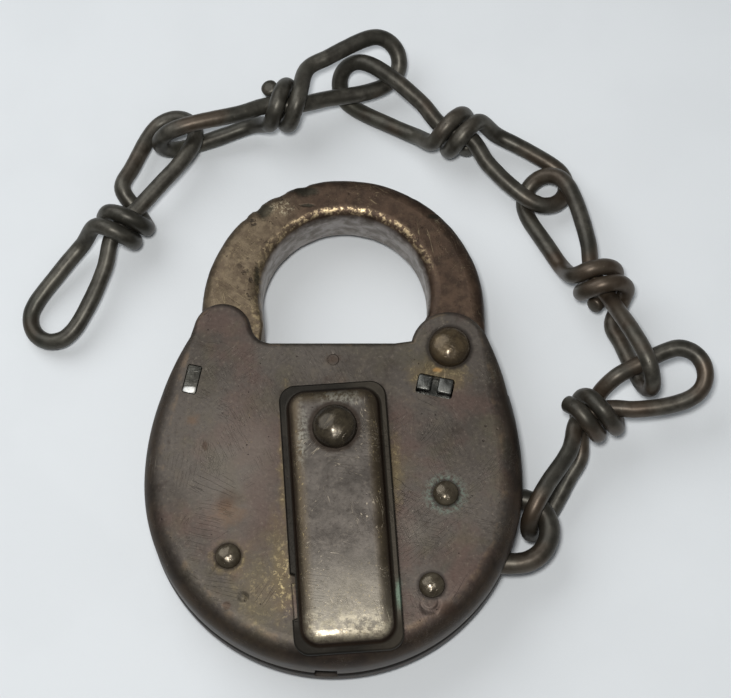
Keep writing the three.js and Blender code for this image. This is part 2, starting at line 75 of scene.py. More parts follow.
def inset(outline, distance):
    """The outline moved inwards, by one distance or by a function of its points."""
    count = len(outline)
    moved = []
    for i, p in enumerate(outline):
        before, after = outline[i - 1], outline[(i + 1) % count]
        a = Vector((p.x - before.x, p.y - before.y)).normalized()
        b = Vector((after.x - p.x, after.y - p.y)).normalized()
        inward = Vector((-a.y - b.y, a.x + b.x)).normalized()
        stretch = max(inward.x * -a.y + inward.y * a.x, 0.7)
        d = distance(p) / stretch if callable(distance) else distance / stretch
        moved.append(Point(p.x + inward.x * d, p.y + inward.y * d, p.rim))
    return moved


def ring_mesh(name, levels):
    """A closed body through rings of (x, y, z) points, capped at both ends."""
    count = len(levels[0])
    verts = [tuple(c * MM for c in p) for level in levels for p in level]
    faces = []
    for k in range(len(levels) - 1):
        for i in range(count):
            j = (i + 1) % count
            faces.append((k * count + i, k * count + j, (k + 1) * count + j, (k + 1) * count + i))
    faces.append(tuple(reversed(range(count))))
    faces.append(tuple(range((len(levels) - 1) * count, len(levels) * count)))
    return mesh_object(name, verts, faces)


def mesh_object(name, verts, faces):
    mesh = bpy.data.meshes.new(name)
    mesh.from_pydata(verts, [], faces)
    mesh.update()
    obj = bpy.data.objects.new(name, mesh)
    bpy.context.scene.collection.objects.link(obj)
    return obj


def rounded_plate(name, outline, z0, z1, round_low, round_high, steps=10):
    """A plate whose chosen edges are rounded by the edge radius of each outline point."""
    levels = []

    def ring(turn, high):
        out = []
        for p in inset(outline, lambda q: q.rim * (1 - math.cos(turn))):
            rise = p.rim * (1 - math.sin(turn))
            out.append((p.x, p.y, z1 - rise if high else z0 + rise))
        return out

    if round_low:
        levels += [ring(i / steps * math.pi / 2, False) for i in range(steps, -1, -1)]
    else:
        levels.append([(p.x, p.y, z0) for p in outline])
    if round_high:
        levels += [ring(i / steps * math.pi / 2, True) for i in range(steps + 1)]
    else:
        levels.append([(p.x, p.y, z1) for p in outline])
    return ring_mesh(name, levels)


def stepped(name, outline, profile):
    """A body whose outline is inset by the distance at each (distance, z) of the profile."""
    return ring_mesh(name, [[(p.x, p.y, z) for p in inset(outline, d)] for d, z in profile])


def lathe(name, at, profile, sides=56):
    """A body of revolution about a vertical axis; the profile runs from the axis round to the axis."""
    verts, faces = [], []
    rows = []
    for r, z in profile:
        if r < 1e-6:
            rows.append([len(verts)])
            verts.append((at[0] * MM, at[1] * MM, z * MM))
            continue
        row = []
        for i in range(sides):
            a = 2 * math.pi * i / sides
            row.append(len(verts))
            verts.append(((at[0] + r * math.cos(a)) * MM, (at[1] + r * math.sin(a)) * MM, z * MM))
        rows.append(row)
    for low, high in zip(rows, rows[1:]):
        for i in range(sides):
            j = (i + 1) % sides
            if len(low) == 1:
                faces.append((low[0], high[j], high[i]))
            elif len(high) == 1:
                faces.append((low[i], low[j], high[0]))
            else:
                faces.append((low[i], low[j], high[j], high[i]))
    if len(rows[0]) > 1:
        for i in range(sides):
            j = (i + 1) % sides
            faces.append((rows[-1][i], rows[-1][j], rows[0][j], rows[0][i]))
    return mesh_object(name, verts, faces)


def block(name, x0, x1, y0, y1, z0, z1):
    """A box between the limits on each axis."""
    return ring_mesh(name, [[(x0, y0, z), (x1, y0, z), (x1, y1, z), (x0, y1, z)] for z in (z0, z1)])


def cylinder(name, at, radius, z0, z1, sides=64):
    return lathe(name, at, [(0, z0), (radius, z0), (radius, z1), (0, z1)], sides)


def leaning_block(name, at, width, height, lean, z0, z1, shift=0.0):
    """A box turned by lean degrees about its middle, moved by shift along its own width."""
    c, s = math.cos(rad(lean)), math.sin(rad(lean))
    corners = [(i * width / 2, j * height / 2) for i, j in ((-1, -1), (1, -1), (1, 1), (-1, 1))]
    base = [(at[0] + (x + shift) * c - y * s, at[1] + (x + shift) * s + y * c) for x, y in corners]
    return ring_mesh(name, [[(x, y, z) for x, y in base] for z in (z0, z1)])


def spline(points, samples):
    """A centripetal Catmull-Rom curve through the points, evenly sampled."""
    pts = [Vector(p) for p in points]
    pts = [pts[0] * 2 - pts[1]] + pts + [pts[-1] * 2 - pts[-2]]
    fine = []
    for k in range(1, len(pts) - 2):
        a, b, c, d = pts[k - 1:k + 3]
        t1 = (b - a).length ** 0.5
        t2 = t1 + (c - b).length ** 0.5
        t3 = t2 + (d - c).length ** 0.5
        for i in range(24):
            t = t1 + (t2 - t1) * i / 24
            ab = a + (b - a) * (t / t1)
            bc = b + (c - b) * ((t - t1) / (t2 - t1))
            cd = c + (d - c) * ((t - t2) / (t3 - t2))
            abc = ab + (bc - ab) * (t / t2)
            bcd = bc + (cd - bc) * ((t - t1) / (t3 - t1))
            fine.append(abc + (bcd - abc) * ((t - t1) / (t2 - t1)))
    fine.append(pts[-2])
    lengths = [0.0]
    for p, q in zip(fine, fine[1:]):
        lengths.append(lengths[-1] + (q - p).length)
    out, k = [], 0
    for i in range(samples + 1):
        target = lengths[-1] * i / samples
        while k < len(fine) - 2 and lengths[k + 1] < target:
            k += 1
        span = max(lengths[k + 1] - lengths[k], 1e-9)
        out.append(fine[k].lerp(fine[k + 1], (target - lengths[k]) / span))
    return out


def sweep(name, path, radius, sides=20, seed=0.0, uneven=0.03):
    """A wire along the path, with slightly rounded ends and a little unevenness from being drawn and bent."""
    count = len(path)
    tangents = [(path[min(i + 1, count - 1)] - path[max(i - 1, 0)]).normalized() for i in range(count)]
    normal = tangents[0].orthogonal().normalized()
    stations = [(0, 0.35, -0.0), (0, 0.8, 0.12)] + [(i, 1.0, 0.0) for i in range(1, count - 1)]
    stations += [(count - 1, 0.8, -0.12), (count - 1, 0.35, 0.0)]
    levels = []
    last = tangents[0]
    for i, scale, along in stations:
        turn = last.rotation_difference(tangents[i])
        normal = turn @ normal
        last = tangents[i]
        side = last.cross(normal)
        centre = path[i] + last * along
        level = []
        for k in range(sides):
            a = 2 * math.pi * k / sides
            out = normal * math.cos(a) + side * math.sin(a)
            bump = noise.noise((centre + out * radius) * 0.22 + Vector((seed, 0, 0)))
            fine = noise.noise((centre + out * radius) * 0.9 + Vector((0, seed, 3)))
            r = radius * scale * (1 - uneven * 0.5 + uneven * bump + uneven * 0.35 * fine)
            level.append(tuple(centre + out * r))
        levels.append(level)
    return ring_mesh(name, levels)


def combine(obj, others, operation):
    for other in others:
        mod = obj.modifiers.new("combine", "BOOLEAN")
        mod.operation, mod.solver, mod.object = operation, "EXACT", other
    bake(obj)
    for other in others:
        bpy.data.objects.remove(other)
    return obj


def cut(obj, tools):
    """Takes the tools' solids out of obj."""
    return combine(obj, tools, "DIFFERENCE")


def add(obj, others):
    """Joins the others' solids to obj."""
    return combine(obj, others, "UNION")


def bake(obj):
    """Gives obj the mesh that its modifiers make."""
    graph = bpy.context.evaluated_depsgraph_get()
    graph.update()
    mesh = bpy.data.meshes.new_from_object(obj.evaluated_get(graph))
    obj.modifiers.clear()
    obj.data = mesh


def soften(obj, width, angle=38.0, segments=2):
    """Breaks the sharp edges of obj by width mm."""
    mod = obj.modifiers.new("soft_edges", "BEVEL")
    mod.width = width * MM
    mod.segments = segments
    mod.limit_method = "ANGLE"
    mod.angle_limit = rad(angle)
    mod.use_clamp_overlap = True
    bake(obj)
    return obj


def shade(obj, angle):
    """Smooth shading with sharp edges over angle degrees and flat large faces."""
    bm = bmesh.new()
    bm.from_mesh(obj.data)
    bmesh.ops.recalc_face_normals(bm, faces=bm.faces)
    for face in bm.faces:
        face.smooth = face.calc_area() < LARGE_FACE * MM * MM
    for edge in bm.edges:
        edge.smooth = len(edge.link_faces) == 2 and edge.calc_face_angle(0.0) < rad(angle)
    bm.to_mesh(obj.data)
    bm.free()


def place(obj, body, node, material, angle=32.0):
    """Hands a finished piece to the frame in place of a node."""
    shade(obj, angle)
    obj.data.materials.clear()
    obj.data.materials.append(material)
    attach(obj, body)
    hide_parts(node)


# ---- the lock's dimensions, as in the frame ----

GAP = 0.3
LARGE_FACE = 12  # square mm, the least for flat shading
RADIUS, LEFT_SIDE, RIGHT_SIDE = 35.0, 50.0, 62.0
DEPTH, WALL, RIM, TOP_RIM, TOP_Y = 18.0, 1.8, 4.5, 1.1, 25.8
SEAM = DEPTH / 2
DOME = (-20.9, 28.2)
DOME_RADIUS, FILLET = 5.4, 4.0
HEEL, HEEL_TAB = (21.6, 24.75), 7.2
PIVOT, DROP_LEAN = (0.3, 7.85), 4
LEFT_RIVET, LEVER_PIVOT, LOWER_RIVET = (-19.0, -15.1), (20.6, -3.4), (17.9, -20.5)
RIVET_HOLE, HEEL_BORE, HEAD_BASE = 1.8, 2.55, 18.2
BOW_OUT, BOW_OUT_RADIUS, BOW_IN, BOW_IN_RADIUS = (1.7, 33.4), 26.8, (1.9, 36.2), 15.8
BOW_END, LEG_OUT, LEG_IN, NOTCH_IN, NOTCH_OUT = 6.9, 47.5, 35.4, 37.45, 45.45
GUIDE_PIN = (-0.1, 22.3)
KEY = (1.5, -13.0)
TOE_TENON, HEEL_TENON, TENON_LEAN = (-26.3, 18.5), (18.8, 17.5), -12.0
STAPLE = (33.9, -8.2)
STAPLE_RADIUS, STAPLE_WIRE = 6.2, 2.0
LOOP, WIRE, COIL = 5.0, 1.65, 3.85
# each link: middle of the knot, heading of its axis, which way it is wrapped, then each loop's heading,
# pitch, roll, length and side
LINKS = [
    ((48.9, 14.0, 10.3), 21.6, 1, (-119.0, -6.4, 104.7, 25.6, 1), (24.6, 5.0, 10.2, 22.8, -1)),
    ((51.1, 39.9, 9.5), 120.8, -1, (-67.6, 7.8, 84.6, 23.0, 1), (116.0, -13.1, -27.3, 27.5, -1)),
    ((23.9, 72.5, 7.5), 154.9, -1, (-28.8, -10.3, -15.3, 24.5, -1), (149.5, -6.0, -44.9, 26.7, -1)),
    ((-10.3, 77.5, 9.6), -178.8, -1, (29.1, -5.2, 28.2, 25.9, -1), (-164.0, -8.2, 91.8, 25.4, 1)),
    ((-41.1, 53.5, 7.3), -130.4, 1, (64.7, -4.9, -20.9, 25.5, -1), (-126.8, -10.9, 11.0, 27.5, 1)),
]


# ---- case ----

def case_outline():
    """Round below, flatter up the sides, with a dome over the toe and a tab round the heel rivet."""
    shoulder_rim, rim_from, rim_to, right_end, left_end = 1.6, 16, 28, 28.2, 27.2

    def side_rim(p):
        rise = min(max(p.y, rim_from), rim_to) - rim_from
        return RIM + (shoulder_rim - RIM) * rise / (rim_to - rim_from)

    right_top = math.degrees(math.asin(right_end / RIGHT_SIDE))
    left_top = 180 - math.degrees(math.asin(left_end / LEFT_SIDE))
    fillet_y = TOP_Y + FILLET
    fillet_x = DOME[0] + math.sqrt((DOME_RADIUS + FILLET) ** 2 - (fillet_y - DOME[1]) ** 2)
    meet = math.degrees(math.atan2(fillet_y - DOME[1], fillet_x - DOME[0]))
    return (
        arc((0, 0), RADIUS, 180, 360, 132, RIM)
        + arc((RADIUS - RIGHT_SIDE, 0), RIGHT_SIDE, 0, right_top, 26, side_rim)[1:]
        + arc(HEEL, HEEL_TAB, 35, 168, 36, TOP_RIM)
        + line((12.4, TOP_Y), (fillet_x, TOP_Y), 24, TOP_RIM)
        + arc((fillet_x, fillet_y), FILLET, 270, 180 + meet, 18, TOP_RIM)
        + arc(DOME, DOME_RADIUS, meet, 169, 30, TOP_RIM)[1:]
        + arc((LEFT_SIDE - RADIUS, 0), LEFT_SIDE, left_top, 180, 26, side_rim)[:-1]
    )


def case_cutters():
    """The ways for the bow, the holes for pins and staple, and the drain notch."""
    slot_low, slot_high = 2.5, 15.35
    outer, inner = LEG_OUT + 0.5, LEG_IN - 0.5
    toe = [(p.x, p.y) for p in arc(HEEL, outer, 158, 186, 30) + arc(HEEL, inner, 186, 158, 30)]
    cutters = [
        ring_mesh("toe_slot", [[(x, y, z) for x, y in toe] for z in (slot_low, slot_high)]),
        block("toe_way", -29, -13.6, 29.4, 40, slot_low, slot_high),
        cylinder("eye_room", HEEL, HEEL_TAB + 0.1, slot_low, slot_high, 72),
        block("heel_way", 17.3, 40, HEEL[1], 40, slot_low, slot_high),
        block("heel_side", HEEL[0], 40, 16.2, HEEL[1] + 1, slot_low, slot_high),
        cylinder("heel_hole", HEEL, HEEL_BORE, -1, 20),
        cylinder("pin_hole", GUIDE_PIN, 1.12, -1, 20, 40),
    ]
    for i, at in enumerate((LEFT_RIVET, LEVER_PIVOT, LOWER_RIVET)):
        cutters.append(cylinder(f"rivet_hole_{i}", at, RIVET_HOLE, -1, 20, 40))
    for i, side in enumerate((-1, 1)):
        leg = cylinder(f"leg_hole_{i}", (0, 0), STAPLE_WIRE + 0.25, -8, 8, 40)
        turn = Matrix.Translation(Vector((STAPLE[0], STAPLE[1] + side * STAPLE_RADIUS, SEAM)) * MM)
        leg.data.transform(turn @ Matrix.Rotation(rad(90), 4, "Y"))
        cutters.append(leg)
    drain = cylinder("drain", (0, 0), 1.5, -4, 4, 40)
    drain_middle = Matrix.Translation(Vector((-1.3, -RADIUS, SEAM)) * MM)
    drain.data.transform(drain_middle @ Matrix.Diagonal((1.4, 1, 0.7, 1)))
    cutters.append(drain)
    return cutters


def case_shell(name, front):
    """One of the two shells, hollowed and with its holes."""
    outline = case_outline()
    walled = inset(outline, WALL)
    for p in walled:
        p.rim = max(p.rim - WALL, 0.3)
    if front:
        shell = rounded_plate(name, outline, SEAM + GAP / 2, DEPTH, False, True, 12)
        hollow = rounded_plate("hollow", walled, SEAM + GAP / 2 - 2, DEPTH - WALL, False, True, 6)
    else:
        shell = rounded_plate(name, outline, 0, SEAM - GAP / 2, True, False, 12)
        hollow = rounded_plate("hollow", walled, WALL, SEAM - GAP / 2 + 2, True, False, 6)
    return cut(shell, [hollow] + case_cutters())


def front_case():
    shell = case_shell("case_front", True)
    lug = soften(block("stop_lug", -9.75, -8.7, -34.2, -27.4, 17.1, 18.5), 0.3, 30, 3)
    add(shell, [drop_place(lug)])
    return cut(shell, [
        cylinder("drop_hole", PIVOT, 2.2, 15, 20, 40),
        cylinder("key_hole", KEY, 3.2, 15, 20, 56),
        block("key_slot", KEY[0] - 1.4, KEY[0] + 1.4, KEY[1] - 8, KEY[1], 15, 20),
        soften(leaning_block("toe_tenon_hole", TOE_TENON, 2.75, 5.65, TENON_LEAN, 15, 20), 0.45, 60, 4),
        soften(leaning_block("heel_tenon_hole", (18.85, 17.15), 6.9, 3.9, TENON_LEAN, 15, 20), 0.6, 60, 4),
    ])


def drop_place(obj):
    """Moves a shape made about the drop's own axes to the leaning drop."""
    to_pivot = Matrix.Translation(Vector((PIVOT[0], PIVOT[1], 0)) * MM)
    obj.data.transform(to_pivot @ Matrix.Rotation(rad(DROP_LEAN), 4, "Z"))
    return obj


# ---- shackle ----

def shackle():
    """The bow, whose legs follow circles about the heel rivet."""
    leg_rim, bow_rim = 0.7, 2.6
    leg_top = math.degrees(math.asin((BOW_OUT[1] - HEEL[1]) / LEG_OUT))
    inner_top = math.degrees(math.asin((31 - HEEL[1]) / LEG_IN))
    outline = (
        arc(HEEL, BOW_END, 150, 360, 54, leg_rim)
        + [Point(HEEL[0] + BOW_END, 29.5, 1.4)]
        + arc(BOW_OUT, BOW_OUT_RADIUS, 0, 180, 150, bow_rim)
        + arc(HEEL, LEG_OUT, 181 - leg_top, 191.6, 16, leg_rim)
        + arc(HEEL, NOTCH_OUT, 194, 194.6, 1, leg_rim)
        + arc(HEEL, NOTCH_IN, 194.6, 194, 1, leg_rim)
        + arc(HEEL, LEG_IN, 191, 181 - inner_top, 16, leg_rim)
        + arc(BOW_IN, BOW_IN_RADIUS, 180, 0, 110, bow_rim)
        + [Point(BOW_IN[0] + BOW_IN_RADIUS, 32.6, 1.6)]
    )
    bow = rounded_plate("shackle_bow", outline, 3, 15, True, True, 10)
    # knocks along the outer edge of the front: angle round the bow, half width and depth
    knocks = [(106.5, 1.1, 0.3), (117, 1.5, 0.22), (128.5, 1.1, 0.42), (135, 0.8, 0.2), (60, 0.8, 0.12)]
    knock_from = 23
    for v in bow.data.vertices:
        p = v.co / MM
        away = Vector((p.x - BOW_OUT[0], p.y - BOW_OUT[1]))
        r = away.length
        if p.z > 8 and r > knock_from and p.y > 33:
            angle = math.degrees(math.atan2(away.y, away.x))
            for centre, width, depth in knocks:
                near = (angle - centre) * rad(1) * BOW_OUT_RADIUS / width
                if abs(near) < 1:
                    bite = depth * (1 - near * near) * (0.7 + 0.3 * noise.noise(p * 2))
                    inward = away.normalized()
                    reach = min(1, (r - knock_from) / 3)
                    v.co -= Vector((inward.x, inward.y, 0.8)) * bite * MM * reach
        if p.y > 26:
            rough = noise.noise(p * 0.35) * 0.08 + noise.noise(p * 1.1) * 0.035
            v.co += Vector((away.x / r, away.y / r, 0)) * rough * MM
    return cut(bow, [
        cylinder("heel_bore", HEEL, HEEL_BORE, 0, 20),
        block("notch", -18, -12, 15.9, 20.1, 5.6, 12.4),
    ])


# ---- rivets ----

def dome(radius, height, z, flat=0.0, steps=14):
    """Profile of a domed head from its rim up, worn flat over the middle part of its radius."""
    points = [(radius, z), (radius * 0.995, z + height * 0.08)]
    for i in range(1, steps):
        turn = i / steps * math.pi / 2
        r, h = radius * math.cos(turn), height * math.sin(turn)
        if r < radius * flat:
            break
        points.append((r, z + h))
    if flat:
        points.append((radius * flat * 0.5, z + height * 0.985))
    points.append((0, z + height))
    return points


def uneven(obj, amount, scale, above):
    """Waves the surface over the height above by up to amount mm."""
    for v in obj.data.vertices:
        if v.co.z > above * MM:
            v.co.z += noise.noise(v.co / MM * scale) * amount * MM


# ---- keyhole drop ----

def drop_outline(half, above, below, radius, notched, steps=14):
    """A rounded oblong about the drop's pivot, with the stop's notch in its left side or not."""
    points = (
        arc((half - radius, radius - below), radius, 270, 360, steps)
        + line((half, radius - below), (half, above - radius), 16)
        + arc((half - radius, above - radius), radius, 0, 90, steps)
        + arc((radius - half, above - radius), radius, 90, 180, steps)
    )
    if notched:
        notch = 1.5 - half
        points += [Point(-half, -26.2), Point(notch, -26.7), Point(notch, -34.1), Point(-half, -34.6)]
    else:
        points += line((-half, above - radius), (-half, radius - below), 16)
    return points + arc((radius - half, radius - below), radius, 180, 270, steps)


def keyhole_drop():
    """A thin flange with a raised hollow box."""
    low, top = 19.7, 23.1
    edge = [
        (0.12, low), (0.0, low + 0.12), (0.0, low + 0.78),
        (0.05, low + 0.92), (0.15, low + 1.02), (0.3, low + 1.1),
    ]
    flange = stepped("drop_cover", drop_outline(9.9, 9.1, 41.2, 3, True), edge)
    box = drop_outline(8.5, 7.6, 39.9, 3.4, False)
    wall = [(-0.45, low + 0.9)]
    for i in range(7):
        turn = i / 6 * math.pi / 2
        wall.append((-0.45 + 0.7 * math.sin(turn), low + 1.1 + 0.9 * (1 - math.cos(turn))))
    for i in range(1, 11):
        turn = i / 10 * math.pi / 2
        wall.append((0.25 + 2.35 * (1 - math.cos(turn)), low + 2.0 + 1.4 * math.sin(turn)))
    outside = stepped("drop_box", box, wall)
    inner = [(1.2, low - 1), (1.4, top - 2), (1.7, top - 1.5), (2.4, top - 1.2)]
    inside = stepped("drop_inside", box, inner)
    add(flange, [outside])
    cut(flange, [inside])
    drop_place(flange)
    return cut(flange, [cylinder("drop_bore", PIVOT, 2.25, 15, 30)])


# ---- chain ----

def along(heading, pitch=0.0):
    """The direction at a heading in the plane, raised by a pitch."""
    flat = math.cos(rad(pitch))
    return Vector((math.cos(rad(heading)) * flat, math.sin(rad(heading)) * flat, math.sin(rad(pitch))))


def link_loop(centre, loop):
    """The points of a loop from the knot round its bend, and the side of its first strand."""
    heading, pitch, roll, length, side_sign = loop
    out = along(heading, pitch)
    level = Vector((-out.y, out.x, 0)).normalized()
    side = (Matrix.Rotation(rad(roll), 3, out) @ level) * side_sign
    bend_at = length - LOOP

    def spot(u, w):
        return centre + out * u + side * w

    strand = [spot(0.42 * bend_at, 0.5 * LOOP), spot(0.8 * bend_at, 0.93 * LOOP)]
    bend = [spot(bend_at + LOOP * math.cos(rad(t)), LOOP * math.sin(rad(t))) for t in range(90, -91, -30)]
    back = [spot(0.6 * bend_at, -0.97 * LOOP), spot(0.36 * bend_at, -0.9 * LOOP)]
    return strand + bend + back, side


def link_path(link):
    """The wire of a link: two loops whose ends wrap round the two strands between them."""
    at, knot, hand, near_loop, far_loop = link
    centre, axis = Vector(at), along(knot)
    level = Vector((-axis.y, axis.x, 0))
    near, near_side = link_loop(centre, near_loop)
    far, far_side = link_loop(centre, far_loop)

    def angle_of(v):
        return math.degrees(math.atan2(-v.z, -v.dot(level)))

    # the coil's pitch, its length, the least reach of its outer end and half the straight core
    pitch, length, nearest, straight = 7.5, 7.2, 2.7, 3.0
    twist = hand * 360 / pitch
    spare = (angle_of(far_side) - angle_of(near_side) - 180) / (2 * twist) - nearest
    reach = spare % (pitch / 2) + nearest
    first = angle_of(near_side) + twist * reach

    def wrap(end):
        points = []
        for i in range(1, 8):
            u = end * (reach - length * i / 7)
            angle = rad(first + twist * u + (180 if end > 0 else 0))
            rise = Vector((0, 0, COIL * math.sin(angle)))
            points.append(centre + axis * u + level * COIL * math.cos(angle) + rise)
        return points

    middle = [centre - axis * straight, centre + axis * straight]
    return list(reversed(near + wrap(-1))) + middle + far + wrap(1)


def staple_path():
    """Half a ring with two straight legs into the case."""
    x, y = STAPLE
    r = STAPLE_RADIUS
    inner_end = 29.6
    bend = [(x + r * math.cos(rad(a)), y + r * math.sin(rad(a)), SEAM) for a in range(-90, 91, 18)]
    legs = [[(inner_end, y + end * r, SEAM), (x - 2, y + end * r, SEAM)] for end in (-1, 1)]
    return legs[0] + bend + legs[1][::-1]


# ---- materials ----

def srgb(*levels):
    """A linear colour from display levels of 0 to 255."""
    linear = [((c / 255 + 0.055) / 1.055) ** 2.4 if c > 10 else c / 255 / 12.92 for c in levels]
    return (*linear, 1.0)


class Paint:
    """A node material in the object's own coordinates, which are metres in the shared frame.

    Its colour is built up in layers: each is mixed over those before it by a mask from 0 to 1.
    """

    def __init__(self, name, metallic):
        self.material = bpy.data.materials.new(name)
        self.material.use_nodes = True
        self.tree = self.material.node_tree
        self.shader = self.tree.nodes["Principled BSDF"]
        self.shader.inputs["Metallic"].default_value = metallic
        self.where = self.node("TexCoord").outputs["Object"]
        self.x, self.y, self.z = self.node("SeparateXYZ", inputs={0: self.where}).outputs

    def put(self, socket, value):
        if isinstance(value, bpy.types.NodeSocket):
            self.tree.links.new(value, socket)
        else:
            socket.default_value = value

    def node(self, kind, settings=None, inputs=None):
        """A new node with its settings, and with its inputs set or linked."""
        node = self.tree.nodes.new("ShaderNode" + kind)
        for name, value in (settings or {}).items():
            setattr(node, name, value)
        for key, value in (inputs or {}).items():
            self.put(node.inputs[key], value)
        return node

    def math(self, operation, *values, clamp=False):
        settings = {"operation": operation, "use_clamp": clamp}
        return self.node("Math", settings, dict(enumerate(values))).outputs[0]

    def noise(self, scale, detail, rough, bend, seed, where=None):
        return self.node("TexNoise", {"noise_dimensions": "4D"}, {
            "Vector": where or self.where, "W": seed, "Scale": scale,
            "Detail": detail, "Roughness": rough, "Distortion": bend,
        }).outputs[0]

    def step(self, value, low, high):
        """0 below low, 1 above high, smooth between; low may be the larger."""
        falls = low > high
        return self.node("MapRange", {"interpolation_type": "SMOOTHSTEP"}, {
            "Value": value, "From Min": min(low, high), "From Max": max(low, high),
            "To Min": float(falls), "To Max": float(not falls),
        }).outputs["Result"]

    def level(self, low, high):
        """A step on the height, in mm."""
        return self.step(self.z, low * MM, high * MM)

    def mix(self, a, b, amount):
        inputs = {"Factor": amount, "A": a, "B": b}
        return self.node("Mix", {"data_type": "RGBA"}, inputs).outputs["Result"]

    def blend(self, colour, mask):
        self.colour = self.mix(self.colour, colour, mask)

    def tint(self, levels, mask, share):
        """A layer of one display colour, at most share opaque."""
        self.blend(srgb(*levels), self.scaled(mask, share))

    def turned(self, degrees, stretch):
        """Coordinates turned about Z and drawn out along their own X."""
        spin = self.node("Mapping", inputs={"Vector": self.where, "Rotation": (0, 0, rad(degrees))})
        pull = self.node("Mapping", inputs={"Vector": spin.outputs[0], "Scale": (1 / stretch, 1, 1)})
        return pull.outputs[0]

    def scratches(self, degrees, scale, width, seed, stretch, share):
        """Thin broken lines, 1 on the line."""
        lines = self.noise(scale, 1.0, 0.4, 0.0, seed, self.turned(degrees, stretch))
        near = self.math("ABSOLUTE", self.math("SUBTRACT", lines, 0.5))
        mask = self.step(self.noise(90, 2.0, 0.5, 0.0, seed + 5), share, share + 0.08)
        return self.scaled(self.step(near, width, width * 0.3), mask)

    def scratched(self, *rows):
        return self.any(*[self.scratches(*row) for row in rows])

    def pits(self, scale, size, seed, share):
        """Small round pits, 1 in the pit."""
        inputs = {"Vector": self.where, "W": seed, "Scale": scale}
        cells = self.node("TexVoronoi", {"voronoi_dimensions": "4D"}, inputs)
        mask = self.step(self.noise(140, 2.0, 0.5, 0.0, seed + 3), share, share + 0.1)
        return self.scaled(self.step(cells.outputs["Distance"], size, size * 0.45), mask)

    def reach(self, at, squash=(1.0, 1.0)):
        """Distance in mm from a line through (x, y) across the face, with x and y squashed."""
        dx = self.scaled(self.math("SUBTRACT", self.x, at[0] * MM), 1000 * squash[0])
        dy = self.scaled(self.math("SUBTRACT", self.y, at[1] * MM), 1000 * squash[1])
        square = self.math("ADD", self.scaled(dx, dx), self.scaled(dy, dy))
        return self.math("SQRT", square)

    def spot(self, at, radius, soft=0.5, ragged=0.0, scale=400, squash=(1.0, 1.0), seed=0.0):
        """A round spot, 1 inside; soft is half the width of its edge and ragged its waviness, in mm."""
        d = self.reach(at, squash)
        if ragged:
            wave = self.math("SUBTRACT", self.noise(scale, 4.0, 0.6, 0.0, seed), 0.5)
            d = self.math("ADD", d, self.scaled(wave, ragged * 2))
        return self.step(d, radius + soft, max(radius - soft, 0.0))

    def spots(self, *rows):
        return self.any(*[self.spot(*row) for row in rows])

    def both(self, *masks):
        out = masks[0]
        for m in masks[1:]:
            out = self.math("MULTIPLY", out, m)
        return out

    def any(self, *masks):
        out = masks[0]
        for m in masks[1:]:
            out = self.math("MAXIMUM", out, m)
        return out

    def scaled(self, mask, amount):
        return self.math("MULTIPLY", mask, amount)

    def finish(self, roughness, rough_terms, height_terms, depth):
        """The terms are (value, weight) pairs; depth is the height of a full bump, in mm."""
        if rough_terms:
            roughness = self.math("ADD", self.sum(*rough_terms), roughness)
        height = self.sum(*height_terms)
        bump = self.node("Bump", inputs={"Strength": 1, "Distance": depth * MM, "Height": height})
        self.put(self.shader.inputs["Base Color"], self.colour)
        self.put(self.shader.inputs["Roughness"], roughness)
        self.put(self.shader.inputs["Normal"], bump.outputs[0])
        return self.material

    def grained(self, grain):
        """Small dark and light grains in the colour."""
        self.tint((50, 43, 37), self.step(grain, 0.48, 0.36), 0.32)
        self.tint((122, 112, 100), self.step(grain, 0.55, 0.68), 0.26)

    def drop_axes(self):
        """How far across and up the leaning drop a point is from the drop's pivot, in metres."""
        c, s = math.cos(rad(DROP_LEAN)), math.sin(rad(DROP_LEAN))
        dx = self.math("SUBTRACT", self.x, PIVOT[0] * MM)
        dy = self.math("SUBTRACT", self.y, PIVOT[1] * MM)
        return self.sum((dx, c), (dy, s)), self.sum((dx, -s), (dy, c))

    def sum(self, *terms):
        """The sum of (value, weight) pairs."""
        out = self.math("MULTIPLY", terms[0][0], terms[0][1])
        for value, weight in terms[1:]:
            out = self.math("MULTIPLY_ADD", value, weight, out)
        return out


